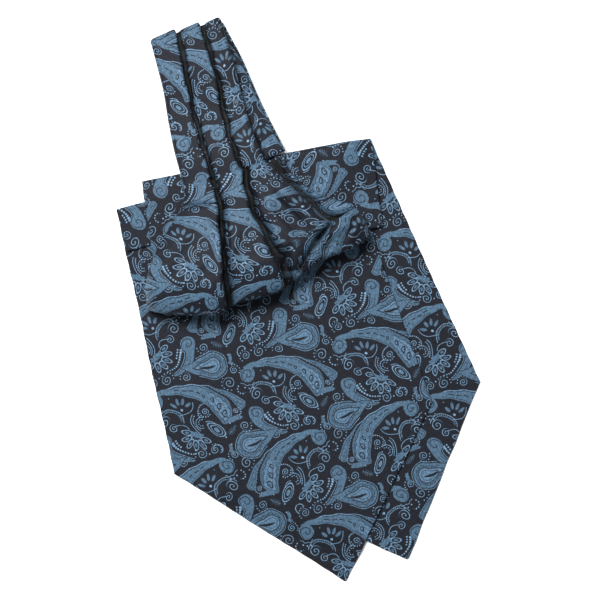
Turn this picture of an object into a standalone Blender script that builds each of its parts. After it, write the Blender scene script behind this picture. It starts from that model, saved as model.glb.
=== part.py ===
# A self-tie silk day cravat, folded and laid flat: two wide pointed blades doubled over at
# the top, the knife-pleated neckband looped above them, and the pleats let out in a soft puff.
# Lengths below are in millimetres. +Z is up, +Y runs to the neckband loop, and the cloth lies on z = 0.
import bpy
import bmesh
import math
import numpy as np

MM = 0.001

# The middle of everything seen from above, which becomes the origin
MIDDLE = (0.4, -1.4, 0.0)

# Cloth
CLOTH = 1.0             # wall of the doubled silk
LAYER = 1.6             # from the middle of one flat layer to the middle of the next
SEAM = 0.3              # gap where one stretch of the cloth is parted from the next
HALF = CLOTH / 2

# Blades, seen from above: ends of the top fold and of the shoulder line, and the point
BACK_BLADE = dict(fold_left=(-89.4, 67.5), fold_right=(41.8, 92.6),
                  shoulder_left=(-37.3, -105.9), shoulder_right=(104.8, -48.1),
                  point=(63.4, -149.8))
FRONT_BLADE = dict(fold_left=(-104.1, 50.8), fold_right=(24.9, 86.8),
                   shoulder_left=(-70.8, -101.0), shoulder_right=(77.2, -59.6),
                   point=(27.8, -162.5))
# Where each blade's turned-over top ends, left and right
BACK_TURNED_END = dict(left=(-81.0, 8.0), right=(49.2, 41.4))
FRONT_TURNED_END = dict(left=(-97.6, 26.7), right=(8.0, 57.0))
POINT_WIDTH = 1.2       # the turned corner at a blade's point
BLADE_ACROSS = 14       # faces across a blade
BLADE_REACH = 18.0      # how far a blade stays lifted beside the layer that it lies on
TURNED_REACH = 26.0

# The pleated band: left and right edge of the front stretch, from the puff to the loop
FRONT_BAND = (
    # left_x, left_y, right_x, right_y
    (-64.5, 64.0, -18.5, 77.5),
    (-68.1, 76.7, -23.4, 88.7),
    (-70.7, 86.5, -27.0, 98.3),
    (-73.7, 101.3, -31.2, 112.7),
    (-76.6, 118.9, -35.5, 130.0),
    (-80.3, 133.5, -39.8, 145.2),
    (-83.3, 144.8, -43.8, 158.1),
)
# The back stretch, from the loop down to where its pleats open
BACK_BAND = (
    # left_x, left_y, right_x, right_y
    (-83.3, 144.8, -43.2, 158.1),
    (-77.6, 133.0, -37.4, 147.2),
    (-71.5, 121.2, -31.8, 136.5),
    (-63.4, 98.4, -22.4, 114.7),
    (-55.4, 78.2, -12.9, 95.3),
    (-51.3, 66.4, -7.0, 84.2),
)
BAND_DEEP = 4.4         # a pleated stretch, from its lowest fold to its top
BAND_SIDE = 1.6         # the width in which its two sides round down
LOOP_INSIDE = 0.6       # half the gap inside the flattened loop
BAND_REACH = 30.0       # the band starts to climb this far from the folded blades
STACK_TOP = 3 * LAYER + CLOTH + 0.8

# Knife pleats across the cloth: three strips that rise to a raised edge, each turned under over the next.
# edge_1 and edge_2 say where two of the raised edges lie, as shares of the width. The third is the right side.
# Between strips come a turn under, a lap back, a turn forward and a rise. Angles are in degrees.
# Rows go from the loop (at -1) through the puff's start (0) to its lower edge (1).
PLEATS = (
    # station, edge_1, edge_2, tilt, turn, lap_1, lap_2, angle_1, angle_2, rise, rise_angle
    (-1.00, 0.34, 0.71, 10.0, 2.6, 6.5, 6.5, 170.0, 170.0, 0.4, 10.0),
    (-0.50, 0.31, 0.69, 10.0, 2.6, 6.5, 6.5, 170.0, 170.0, 0.4, 10.0),
    (0.00, 0.34, 0.66, 10.0, 2.6, 6.5, 6.0, 170.0, 168.0, 0.4, 14.0),
    (0.15, 0.34, 0.61, 8.0, 3.0, 6.0, 5.0, 160.0, 150.0, 3.0, 34.0),
    (0.35, 0.37, 0.60, 5.0, 3.8, 5.2, 4.2, 132.0, 110.0, 5.6, 44.0),
    (0.60, 0.39, 0.63, 3.0, 4.6, 4.6, 3.4, 104.0, 62.0, 6.2, 44.0),
    (0.80, 0.36, 0.60, 2.0, 5.2, 4.6, 3.0, 92.0, 30.0, 6.4, 40.0),
    (1.00, 0.31, 0.59, 2.0, 5.4, 4.4, 3.0, 80.0, 12.0, 6.4, 36.0),
)
PLEAT_CROWN = 10.0      # how much a strip's heading turns across it, once it opens in the puff
PLEAT_SOFT = 1.4        # length of the soft bends at a rise's foot and head

# The puff, seen from above
PUFF_LEFT = ((-64.5, 64.0), (-64.9, 55.0), (-70.4, 44.0), (-77.8, 32.0), (-83.4, 20.0), (-86.6, 7.0), (-85.6, -6.5))
PUFF_RIGHT = ((-18.5, 77.5), (-9.7, 69.3), (-0.2, 60.1), (10.0, 50.4), (20.0, 43.5), (33.5, 50.2), (41.4, 36.6))
PUFF_LOWER = ((-85.6, -6.5), (-73.0, -9.2), (-57.0, -9.6), (-45.0, -9.6), (-34.0, -2.6), (-20.5, 0.6), (-6.0, 6.4),
              (5.0, 16.0), (17.0, 23.2), (31.0, 28.6), (41.4, 36.6))
PUFF_HEIGHTS = (
    # station, left_rim, right_rim, crown
    (0.00, 12.0, 12.0, 0.0),
    (0.15, 9.6, 10.6, 2.6),
    (0.35, 7.6, 9.2, 5.4),
    (0.60, 7.0, 8.8, 8.0),
    (0.80, 6.6, 9.4, 8.4),
    (1.00, 6.4, 9.4, 7.8),
)
PUFF_SIDE = 7.0         # the width in which the puff's sides round down
PUFF_ROLL = 0.80        # from this share of its length the puff rolls over and under
ROLL_BOTTOM = (3.5, 9.0)  # where the roll comes to rest on the layers below it, left and right
ROLL_ANGLE = 160.0
PUFF_STEPS = 13
ROLL_STEPS = 8

# The hidden layers: their part of the puff's plan, and the look of their edges
CORE_ALONG = (0.34, 0.85)
CORE_ACROSS = (0.09, 0.60)
CORE_LAYERS = 4
CORE_BULGE = 0.7
CORE_CLEAR = 8.0        # the core keeps under the lowest fold within this distance

# The back stretch's opened pleats, beside and under the puff
FAN_TOP = ((-44.0, 62.6), (-26.0, 73.6), (-7.2, 83.0))
FAN_EDGE = ((-7.2, 83.0), (-5.6, 74.6), (2.0, 66.4), (10.6, 60.6), (20.0, 56.8), (31.0, 53.2), (36.0, 46.0))
FAN_HIDDEN = ((-44.0, 62.6), (-36.0, 55.0), (-24.0, 48.5), (-10.0, 43.0), (4.0, 38.0), (14.0, 35.0), (22.0, 34.0))
FAN_END = ((22.0, 34.0), (30.0, 39.0), (36.0, 46.0))
FAN_FOLD = (
    # share along, height and width of the fold that the edge rolls into; the widest part is the flap
    (0.00, 2.6, 4.5),
    (0.30, 3.0, 5.0),
    (0.55, 3.0, 6.5),
    (0.66, 2.8, 9.5),
    (0.80, 2.6, 9.5),
    (0.88, 1.6, 3.6),
    (1.00, 0.0, 3.0),
)
FAN_ACROSS = 24
FAN_STEPS = 14

SILK = (0.030, 0.052, 0.085)


def placed(point):
    return (np.array(point, float) - MIDDLE) * MM


def smooth(t):
    t = np.clip(t, 0.0, 1.0)
    return t * t * (3 - 2 * t)


def between(rows, t):
    """Catmull-Rom curve through evenly spaced rows, at a share t of its length."""
    rows = np.array(rows, float)
    place = float(np.clip(t, 0.0, 1.0)) * (len(rows) - 1)
    i = min(int(place), len(rows) - 2)
    s = place - i
    a, b = rows[max(i - 1, 0)], rows[i]
    c, d = rows[i + 1], rows[min(i + 2, len(rows) - 1)]
    return b + 0.5 * s * (c - a + s * (2 * a - 5 * b + 4 * c - d + s * (3 * (b - c) + d - a)))


def at_station(table, station):
    """The other columns of a table, read at a value of its first column."""
    table = np.array(table, float)
    return [np.interp(station, table[:, 0], table[:, k]) for k in range(1, table.shape[1])]


def depth_inside(corners, x, y):
    """How far inside a convex outline a point lies, negative outside. Corners run anticlockwise."""
    corners = np.array(corners, float)
    depth = np.full(np.shape(x), np.inf)
    for here, there in zip(corners, np.roll(corners, -1, axis=0)):
        along = (there - here) / np.linalg.norm(there - here)
        depth = np.minimum(depth, along[0] * (y - here[1]) - along[1] * (x - here[0]))
    return depth


def blade_outline(blade):
    return [blade[k] for k in ("fold_left", "shoulder_left", "point", "shoulder_right", "fold_right")]


def turned_outline(blade, end):
    return [blade["fold_left"], end["left"], end["right"], blade["fold_right"]]


def lifted(outline, x, y, reach):
    """1 on a layer, falling to 0 at reach beside it."""
    return smooth(1 + depth_inside(outline, x, y) / reach)


def front_blade_height(x, y):
    return HALF + LAYER * lifted(blade_outline(BACK_BLADE), x, y, BLADE_REACH)


def front_turned_height(x, y):
    under = lifted(blade_outline(FRONT_BLADE), x, y, TURNED_REACH)
    over_back = lifted(blade_outline(BACK_BLADE), x, y, TURNED_REACH)
    return HALF + LAYER * (under + over_back)


def back_turned_height(x, y):
    front_turned = turned_outline(FRONT_BLADE, FRONT_TURNED_END)
    return HALF + LAYER * (1 + lifted(blade_outline(FRONT_BLADE), x, y, TURNED_REACH)
                           + lifted(front_turned, x, y, TURNED_REACH))


def stack_lift(x, y, reach):
    """How far the band and the puff stand above the floor, over the folded blades."""
    return STACK_TOP * lifted(turned_outline(BACK_BLADE, BACK_TURNED_END), x, y, reach)


def blade_rows(blade, end, height, turned_height, fold_clear):
    """A blade's rows of points: from the point up to the fold, round it, and down the turned-over top."""
    across = np.linspace(0, 1, BLADE_ACROSS + 1)
    corner = {k: np.array(v, float) for k, v in {**blade, "end_left": end["left"], "end_right": end["right"]}.items()}
    side = corner["shoulder_right"] - corner["shoulder_left"]
    nib = side / np.linalg.norm(side) * POINT_WIDTH / 2
    fold_line = corner["fold_right"] - corner["fold_left"]
    outward = np.array([-fold_line[1], fold_line[0]]) / np.linalg.norm(fold_line)

    def row(left, right, level, shift=0.0):
        flat = left + (right - left) * across[:, None] + outward * shift
        return np.column_stack([flat, level(flat[:, 0], flat[:, 1])])

    rows = []
    for t in (0.0, 0.2, 0.45, 0.7, 0.9):
        left = corner["point"] - nib + (corner["shoulder_left"] - corner["point"] + nib) * t
        right = corner["point"] + nib + (corner["shoulder_right"] - corner["point"] - nib) * t
        rows.append(row(left, right, height))
    for t in np.linspace(0, 1, 12):
        left = corner["shoulder_left"] + (corner["fold_left"] - corner["shoulder_left"]) * t
        right = corner["shoulder_right"] + (corner["fold_right"] - corner["shoulder_right"]) * t
        rows.append(row(left, right, height, -fold_clear * t))
    low, high = rows[-1], row(corner["fold_left"], corner["fold_right"], turned_height, -fold_clear)
    middle, radius = (low + high) / 2, (high[:, 2] - low[:, 2]) / 2
    for angle in np.radians((-60, -30, 0, 30, 60)):
        turn = middle.copy()
        turn[:, :2] += outward * (radius * math.cos(angle))[:, None]
        turn[:, 2] += radius * math.sin(angle)
        rows.append(turn)
    for t in np.linspace(0, 1, 8):
        left = corner["fold_left"] + (corner["end_left"] - corner["fold_left"]) * t
        right = corner["fold_right"] + (corner["end_right"] - corner["fold_right"]) * t
        rows.append(row(left, right, turned_height, -fold_clear * (1 - t)))
    return rows


def walk_along(pieces):
    """Where each step of a walk ends. A piece has a length, a heading at its start and end, and steps."""
    spots = []
    here = np.zeros(2)
    for length, start, end, steps in pieces:
        for k in range(steps):
            heading = math.radians(start + (end - start) * (k + 0.5) / steps)
            here = here + length / steps * np.array([math.cos(heading), math.sin(heading)])
            spots.append(here)
    return np.array(spots)


def pleat_section(station, width):
    """Share across and height of the pleated cloth, found by walking along it as its heading turns."""
    (edge_1, edge_2, tilt, turn, lap_1, lap_2,
     angle_1, angle_2, rise, rise_angle) = at_station(PLEATS, station)
    crown = PLEAT_CROWN * smooth(station / 0.3)
    folds = []
    for angle, lap in ((angle_1, lap_1), (angle_2, lap_2)):
        up = rise_angle * min(1.0, angle / 80.0)
        folds.append(walk_along([
            (turn, tilt - crown, -angle, 4), (lap, -angle, -angle, 1), (turn, -angle, tilt, 4),
            (PLEAT_SOFT, tilt, up, 1), (rise, up, up, 1), (PLEAT_SOFT, up, tilt + crown, 1)]))
    reach_1, reach_2 = (fold[:4, 0].max() for fold in folds)
    strips = (edge_1 * width - reach_1,
              (edge_2 - edge_1) * width + reach_1 - folds[0][-1, 0] - reach_2,
              (1 - edge_2) * width + reach_2 - folds[1][-1, 0])
    points = np.zeros((1, 2))
    for strip, fold in zip(strips, folds + [None]):
        flat = walk_along([(1.0, tilt + crown, tilt, 2), (1.0, tilt, tilt - crown, 2)])
        points = np.vstack([points, points[-1] + flat * strip / flat[-1, 0]])
        if fold is not None:
            points = np.vstack([points, points[-1] + fold])
    across, height = points.T
    height = height - across / across[-1] * height[-1]
    return across / across[-1], height - height.min()


def sided(across, height, width, side):
    """Rounds a section's two sides down to nothing over a given width."""
    room = np.clip(np.minimum(across, 1 - across) * width / side, 0, 1)
    return height * np.sqrt(np.clip(1 - (1 - room) ** 2, 0, 1))


def band_section(station, width):
    """A band's section: share across, and height from its underside."""
    across, height = pleat_section(station, width)
    height = HALF + height / height.max() * (BAND_DEEP - CLOTH)
    return across, np.maximum(sided(across, height, width, BAND_SIDE), HALF)


def band_row(edges, station, level, reach, facing_down=False):
    left, right = np.array(edges[:2]), np.array(edges[2:])
    across, height = band_section(station, np.linalg.norm(right - left))
    flat = left + (right - left) * across[:, None]
    base = level + stack_lift(flat[:, 0], flat[:, 1], reach)
    return np.column_stack([flat, base + (BAND_DEEP - height if facing_down else height)])


def neckband_front_rows():
    rows = [band_row(between(FRONT_BAND, t), -t, BAND_DEEP + 2 * LOOP_INSIDE, BAND_REACH + 6)
            for t in np.linspace(0, 1, 13)]
    left, right = np.array(FRONT_BAND[-1][:2]), np.array(FRONT_BAND[-1][2:])
    outward = np.array([-(right - left)[1], (right - left)[0]]) / np.linalg.norm(right - left)
    across, height = band_section(-1.0, np.linalg.norm(right - left))
    pivot = left + (right - left) * across[:, None]
    for angle in np.radians((30, 60, 90, 120, 150, 180)):
        out = (height + LOOP_INSIDE) * math.sin(angle)
        up = BAND_DEEP + LOOP_INSIDE + (height + LOOP_INSIDE) * math.cos(angle)
        rows.append(np.column_stack([pivot + outward * out[:, None], up]))
    return rows


def neckband_back_rows():
    length = np.linalg.norm(np.diff(np.array(BACK_BAND)[:, :2], axis=0), axis=1).sum()
    return [band_row(between(BACK_BAND, t), -1 + t, 0.0, BAND_REACH, facing_down=True)
            for t in np.linspace(2 * SEAM / length, 1, 11)]


def patch(top, lower, left, right, across, along):
    """A point of the surface that four edge curves bound, seen from above."""
    corner_tl, corner_tr, corner_ll, corner_lr = (np.array(p, float) for p in (top[0], top[-1], lower[0], lower[-1]))
    upper = np.array([between(top, a) for a in across])
    under = np.array([between(lower, a) for a in across])
    a = across[:, None]
    sides = (1 - a) * between(left, along) + a * between(right, along)
    corners = ((1 - along) * ((1 - a) * corner_tl + a * corner_tr)
               + along * ((1 - a) * corner_ll + a * corner_lr))
    return (1 - along) * upper + along * under + sides - corners


def puff_plan(across, along):
    return patch((PUFF_LEFT[0], PUFF_RIGHT[0]), PUFF_LOWER, PUFF_LEFT, PUFF_RIGHT, across, along)


def puff_row(station):
    """One row across the puff. Past PUFF_ROLL the rows go round the roll and a little way back under it."""
    turn = math.radians(ROLL_ANGLE) * np.clip((station - PUFF_ROLL) / (1 - PUFF_ROLL), 0, 1)
    along = station if turn == 0 else PUFF_ROLL + (1 - PUFF_ROLL) * math.sin(turn)
    left_rim, right_rim, crown = at_station(PUFF_HEIGHTS, station)
    sides = puff_plan(np.array([0.0, 1.0]), along)
    width = np.linalg.norm(sides[1] - sides[0])
    across, pleats = pleat_section(station, width)
    place = np.clip(across, 0, 1)
    flat = puff_plan(place, along)
    dome = crown * (1 - np.abs(2 * place - 1) ** 3)
    start_height = HALF + pleats / pleats.max() * (BAND_DEEP - CLOTH)
    opened = smooth(station / 0.35)
    section = start_height * (1 - opened) + (HALF + pleats) * opened
    side = BAND_SIDE + (PUFF_SIDE - BAND_SIDE) * opened
    top = left_rim + (right_rim - left_rim) * place + np.maximum(sided(place, section + dome, width, side), HALF)
    bottom = ROLL_BOTTOM[0] + (ROLL_BOTTOM[1] - ROLL_BOTTOM[0]) * place
    return np.column_stack([flat, bottom + (top - bottom) * (1 + math.cos(turn)) / 2])


def puff_rows():
    rows = [puff_row(s) for s in np.linspace(0, PUFF_ROLL, PUFF_STEPS)[:-1]]
    rows += [puff_row(s) for s in np.linspace(PUFF_ROLL, 1, ROLL_STEPS)]
    rows[0][:, :2] += SEAM * np.array([0.26, -0.97])
    return rows


def fan_rows():
    """The back stretch's pleats opening to the right under the puff; the edge rolls into a fold and a flap."""
    across = 1 - np.linspace(1, 0, FAN_ACROSS + 1) ** 1.5
    rows = []
    for along in np.linspace(0.03, 1, FAN_STEPS + 1):
        rise, wide = at_station(FAN_FOLD, along)
        flat = patch(FAN_TOP, FAN_END, FAN_HIDDEN, FAN_EDGE, across, along)
        from_edge = np.linalg.norm(flat[-1] - flat[0]) * (1 - across)
        fold = smooth(from_edge / 2.2) * smooth((wide - from_edge) / 3.0)
        rows.append(np.column_stack([flat, STACK_TOP + HALF + rise * fold]))
    return rows


def core_floor(x, y):
    """Just over the blades and the turned-over tops that the hidden layers lie on."""
    return back_turned_height(x, y) + HALF + SEAM


def core_shape():
    """The layers hidden in the puff, as one rounded solid: its top, its base and the rings between."""
    across = np.linspace(*CORE_ACROSS, 13)
    top, base = [], []
    for along in np.linspace(*CORE_ALONG, 10):
        flat = puff_plan(across, along)
        turn = math.asin(max(along - PUFF_ROLL, 0.0) / (1 - PUFF_ROLL))
        line = puff_row(along if turn == 0 else PUFF_ROLL + (1 - PUFF_ROLL) * turn / math.radians(ROLL_ANGLE))
        away = [np.linalg.norm(line[:, :2] - p, axis=1) for p in flat]
        roof = np.array([line[d <= max(CORE_CLEAR, np.sort(d)[3]), 2].min() for d in away]) - 1.4
        end = math.sin(math.pi * (along - CORE_ALONG[0]) / (CORE_ALONG[1] - CORE_ALONG[0]))
        side = np.sin(np.pi * (across - across[0]) / (across[-1] - across[0]))
        rounded = 0.45 + 0.5 * (np.clip(end * side, 0, 1)) ** 0.4
        floor = core_floor(flat[:, 0], flat[:, 1])
        top.append(np.column_stack([flat, floor + np.maximum(roof - floor, 1.2) * rounded]))
        base.append(np.column_stack([flat, floor]))
    return top, base


def silk(name):
    material = bpy.data.materials.new(name)
    material.use_nodes = True
    shader = material.node_tree.nodes["Principled BSDF"]
    shader.inputs["Base Color"].default_value = (*SILK, 1)
    shader.inputs["Roughness"].default_value = 0.45
    shader.inputs["Metallic"].default_value = 0.0
    return material


def grid_mesh(name, rows):
    """An open surface through rows of points that all hold the same number."""
    work = bmesh.new()
    lines = [[work.verts.new(placed(p)) for p in row] for row in rows]
    for one, two in zip(lines, lines[1:]):
        for k in range(len(one) - 1):
            work.faces.new((one[k], one[k + 1], two[k + 1], two[k]))
    mesh = bpy.data.meshes.new(name)
    work.to_mesh(mesh)
    work.free()
    mesh.shade_smooth()
    return mesh


def add_part(name, mesh, collection):
    part = bpy.data.objects.new(name, mesh)
    collection.objects.link(part)
    part.data.materials.append(silk(name))
    return part


def add_cloth(name, rows, collection):
    part = add_part(name, grid_mesh(name, rows), collection)
    wall = part.modifiers.new("wall", "SOLIDIFY")
    wall.thickness = CLOTH * MM
    wall.offset = 0
    return part


def add_core(name, top, base, collection):
    """Joins the core's top and base with side rings that bulge once for each hidden layer."""
    work = bmesh.new()
    grids = []
    for rows in (top, base):
        grid = [[work.verts.new(placed(p)) for p in row] for row in rows]
        for one, two in zip(grid, grid[1:]):
            for k in range(len(one) - 1):
                work.faces.new((one[k], one[k + 1], two[k + 1], two[k]))
        grids.append(grid[0] + [row[-1] for row in grid[1:-1]] + grid[-1][::-1] + [row[0] for row in grid[-2:0:-1]])
    upper, lower = grids
    middle = np.mean([v.co[:] for v in lower], axis=0)
    rings = [lower]
    steps = 2 * CORE_LAYERS
    for k in range(1, steps):
        ring = []
        for low, high in zip(lower, upper):
            spot = np.array(low.co) + (np.array(high.co) - np.array(low.co)) * k / steps
            inward = middle - spot
            inward[2] = 0
            groove = CORE_BULGE * MM if k % 2 == 0 else 0.0
            ring.append(work.verts.new(spot + inward / np.linalg.norm(inward) * groove))
        rings.append(ring)
    rings.append(upper)
    for one, two in zip(rings, rings[1:]):
        for k in range(len(one)):
            j = (k + 1) % len(one)
            work.faces.new((one[k], one[j], two[j], two[k]))
    bmesh.ops.recalc_face_normals(work, faces=work.faces[:])
    mesh = bpy.data.meshes.new(name)
    work.to_mesh(mesh)
    work.free()
    mesh.shade_smooth()
    return add_part(name, mesh, collection)


def main():
    for old in list(bpy.data.objects):
        bpy.data.objects.remove(old)
    cravat = bpy.data.collections.new("silk_cravat")
    bpy.context.scene.collection.children.link(cravat)
    add_cloth("blade_back", blade_rows(BACK_BLADE, BACK_TURNED_END, lambda x, y: HALF + 0 * x,
                                       back_turned_height, 2.9), cravat)
    add_cloth("blade_front", blade_rows(FRONT_BLADE, FRONT_TURNED_END, front_blade_height,
                                        front_turned_height, 1.4), cravat)
    add_cloth("neckband_front", neckband_front_rows(), cravat)
    add_cloth("neckband_back", neckband_back_rows(), cravat)
    add_cloth("puff_front", puff_rows(), cravat)
    add_cloth("fan_back", fan_rows(), cravat)
    add_core("folded_core", *core_shape(), cravat)


main()
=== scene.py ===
from functools import partial
from math import asin, cos, pi, radians, sin, sqrt

import bpy
import numpy as np
from numpy.linalg import norm
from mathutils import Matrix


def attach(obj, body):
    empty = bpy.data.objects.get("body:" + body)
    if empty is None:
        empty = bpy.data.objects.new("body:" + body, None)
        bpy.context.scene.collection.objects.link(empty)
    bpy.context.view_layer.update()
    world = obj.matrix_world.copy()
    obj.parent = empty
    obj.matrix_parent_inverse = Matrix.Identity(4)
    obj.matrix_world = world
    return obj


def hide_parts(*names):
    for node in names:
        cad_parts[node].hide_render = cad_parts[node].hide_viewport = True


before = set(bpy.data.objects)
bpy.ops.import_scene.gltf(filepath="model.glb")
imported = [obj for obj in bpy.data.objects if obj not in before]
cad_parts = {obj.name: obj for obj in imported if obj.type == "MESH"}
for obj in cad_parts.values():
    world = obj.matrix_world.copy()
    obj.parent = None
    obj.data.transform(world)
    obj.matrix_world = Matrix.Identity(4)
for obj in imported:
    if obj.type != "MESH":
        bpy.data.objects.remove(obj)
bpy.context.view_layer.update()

MM = 0.001
MIDDLE = (0.4, -1.4, 0.0)  # where the frame's origin lies in the places below

# Cloth: the wall of the doubled silk, and how far apart stacked layers lie
CLOTH = 1.0
HALF = CLOTH / 2
LAYER = 1.6
ROUND_EDGE = (0.0, 0.05, 0.16, 0.34, 0.62, 1.1)  # distances from a folded edge at which it is shaped

# Blades, seen from above: ends of the top fold and of the shoulder line, and the point
BACK_BLADE = dict(fold_left=(-89.4, 67.5), fold_right=(41.8, 92.6),
                  shoulder_left=(-37.3, -105.9), shoulder_right=(104.8, -48.1),
                  point=(63.4, -149.8))
FRONT_BLADE = dict(fold_left=(-104.1, 50.8), fold_right=(24.9, 86.8),
                   shoulder_left=(-70.8, -101.0), shoulder_right=(77.2, -59.6),
                   point=(27.8, -162.5))
BACK_TURNED_END = dict(left=(-81.0, 8.0), right=(49.2, 41.4))
FRONT_TURNED_END = dict(left=(-97.6, 26.7), right=(8.0, 57.0))
BACK_FOLD_CLEAR = 2.9  # how far short of the fold its turn begins
FRONT_FOLD_CLEAR = 1.4
FOLD_TURN = 75.0  # degrees that the turn runs each way from the fold's edge
POINT_WIDTH = 1.2
BLADE_REACH = 18.0  # how far beside a layer the cloth on it takes to come down
TURNED_REACH = 26.0

# The pleated band: left and right edge of the front stretch, from the puff to the loop
FRONT_BAND = (
    (-64.5, 64.0, -18.5, 77.5),
    (-68.1, 76.7, -23.4, 88.7),
    (-70.7, 86.5, -27.0, 98.3),
    (-73.7, 101.3, -31.2, 112.7),
    (-76.6, 118.9, -35.5, 130.0),
    (-80.3, 133.5, -39.8, 145.2),
    (-83.3, 144.8, -43.8, 158.1),
)
# The back stretch, from the loop down to where its pleats open
BACK_BAND = (
    (-83.3, 144.8, -43.2, 158.1),
    (-77.6, 133.0, -37.4, 147.2),
    (-71.5, 121.2, -31.8, 136.5),
    (-63.4, 98.4, -22.4, 114.7),
    (-55.4, 78.2, -12.9, 95.3),
    (-51.3, 66.4, -7.0, 84.2),
)
BAND_DEEP = 4.4
BAND_SIDE = 1.6
FRONT_SPRING = 1.8  # the front stretch stands this much deeper, clear of the loop
FRONT_SPRING_GROWS = 0.35  # the share of that stretch over which it deepens
LOOP_INSIDE = 0.6
BACK_BAND_REACH = 30.0
FRONT_BAND_REACH = 36.0
STACK_CLEAR = 0.8
STACK_TOP = 3 * LAYER + CLOTH + STACK_CLEAR

# Knife pleats across the cloth, from the loop (-1) through the puff's start (0) to its lower edge (1)
PLEATS = (
    # station, edge_1, edge_2, tilt, turn, lap_1, lap_2, angle_1, angle_2, rise, rise_angle
    (-1.00, 0.34, 0.71, 7.0, 2.8, 6.5, 6.5, 170.0, 170.0, 1.4, 40.0),
    (-0.50, 0.31, 0.69, 7.0, 3.0, 6.5, 6.5, 170.0, 170.0, 1.8, 44.0),
    (0.00, 0.34, 0.66, 7.0, 3.0, 6.5, 6.0, 170.0, 168.0, 2.2, 48.0),
    (0.15, 0.34, 0.61, 6.0, 3.2, 6.2, 5.8, 168.0, 166.0, 3.6, 52.0),
    (0.35, 0.37, 0.60, 4.0, 3.4, 6.0, 5.4, 164.0, 160.0, 5.4, 56.0),
    (0.60, 0.39, 0.63, 2.0, 3.8, 5.6, 4.8, 156.0, 146.0, 6.4, 58.0),
    (0.80, 0.36, 0.60, 2.0, 4.0, 5.2, 4.0, 146.0, 122.0, 6.6, 56.0),
    (1.00, 0.31, 0.59, 2.0, 4.4, 4.6, 3.2, 128.0, 84.0, 6.2, 50.0),
)
PLEAT_CROWN = 7.0
CROWN_GROWS = 0.3  # the station where it is full
PLEAT_SOFT = 1.2
PLEAT_VALLEY = 2.3  # floor left open beside a raised edge
LEAST_VALLEY = 0.4
FULL_RISE = 80.0  # degrees of turn from which the next strip's edge rises in full
FOLD_SHADE = (60.0, 130.0)  # degrees of turn where a fold's painted shade begins, and where it is full
PLEAT_SWAY = 0.45  # how far the folds wander from smooth curves
STRIP_EDGE_CLOTH = (27.7, 78.6, 123.0)  # where each strip's raised edge lies across the whole cloth
PUFF_TOP_CLOTH = 54.8  # and where the puff's upper end lies along it

# The puff, seen from above
PUFF_LEFT = ((-64.5, 64.0), (-64.9, 55.0), (-70.4, 44.0), (-77.8, 32.0), (-83.4, 20.0),
             (-86.6, 7.0), (-85.6, -6.5))
PUFF_RIGHT = ((-18.5, 77.5), (-9.7, 69.3), (-0.2, 60.1), (10.0, 50.4), (20.0, 43.5),
              (33.5, 50.2), (41.4, 36.6))
PUFF_LOWER = ((-85.6, -6.5), (-73.0, -9.2), (-57.0, -9.6), (-45.0, -9.6), (-34.0, -2.6), (-20.5, 0.6),
              (-6.0, 6.4), (5.0, 16.0), (17.0, 23.2), (31.0, 28.6), (41.4, 36.6))
PUFF_HEIGHTS = (
    # station, left_rim, right_rim, crown
    (-0.10, 12.2, 12.2, 0.0),
    (0.00, 12.2, 12.2, 0.0),
    (0.05, 11.9, 12.0, 0.2),
    (0.15, 9.8, 10.8, 2.4),
    (0.35, 7.6, 9.2, 5.4),
    (0.60, 7.0, 8.8, 8.0),
    (0.80, 6.6, 9.4, 8.4),
    (1.00, 6.4, 9.4, 7.8),
)
PUFF_CREASES = (
    # start, end, how wide and how high: a trough is negative
    ((19.4, 42.6), (11.0, 33.0), 1.9, -6.0),
    ((12.0, 34.2), (0.5, 15.0), 2.1, -5.0),
    ((-9.0, 65.0), (3.0, 53.6), 2.0, 1.6),
    ((1.0, 55.4), (14.0, 43.4), 2.2, 1.8),
    ((24.0, 29.0), (34.0, 47.0), 1.7, -1.9),
    ((20.0, 37.0), (27.0, 43.0), 1.8, 1.5),
    ((31.0, 31.0), (39.0, 41.0), 1.6, -1.5),
    ((14.5, 26.0), (22.0, 37.5), 1.9, -1.9),
    ((36.5, 35.5), (41.0, 38.0), 1.3, -1.4),
    ((27.0, 40.0), (38.0, 45.0), 1.5, 1.6),
    ((20.5, 31.0), (25.5, 38.0), 1.2, -1.6),
    ((33.0, 34.0), (36.5, 43.5), 1.2, 1.2),
    ((-12.0, 60.0), (6.0, 42.5), 1.7, -1.9),
    ((23.5, 33.0), (16.0, 41.0), 1.4, 1.6),
    ((5.0, 18.5), (9.5, 27.5), 1.8, 1.4),
    ((-64.5, 51.6), (-49.0, 53.8), 1.5, -1.9),
    ((-76.0, 12.0), (-60.0, 40.0), 2.6, -1.0),
    ((-66.0, 6.0), (-52.0, 22.0), 2.8, 0.9),
    ((-38.0, 8.0), (-30.0, 38.0), 2.4, -1.1),
    ((-14.0, 54.0), (2.0, 34.0), 2.2, -1.2),
    ((-9.0, 12.0), (-3.0, 34.0), 2.4, -1.1),
)
BLADE_CREASES = (
    ((-72.0, -44.0), (-26.0, -104.0), 7.0, 0.75),
    ((-4.0, -34.0), (58.0, -92.0), 8.0, 0.7),
    ((-34.0, -66.0), (16.0, -140.0), 6.0, 0.6),
    ((64.0, -2.0), (88.0, -60.0), 6.5, 0.8),
    ((-88.0, -16.0), (-60.0, -60.0), 5.0, 0.5),
)
CREASE_FADE = 0.35  # the share of a crease's length over which it fades
CREASE_PAST = 0.15  # and how far past its ends that reaches
CREASE_SHADE = 4.5  # a trough this deep is wholly in painted shade
CREASE_PAINTED_SHADE_MOST = 0.9
PUFF_OPENS = 0.35  # the station where the pleats have opened
PUFF_SIDE = 7.0
PUFF_ROLL = 0.80  # the station where the cloth begins to roll under
ROLL_EDGE = 60.0  # turns the distances of ROUND_EDGE into stations at the rolled end
ROLL_BOTTOM = (3.5, 9.0)
ROLL_ANGLE = 160.0

# Painted shade along the right side, from the puff up to the loop
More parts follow.
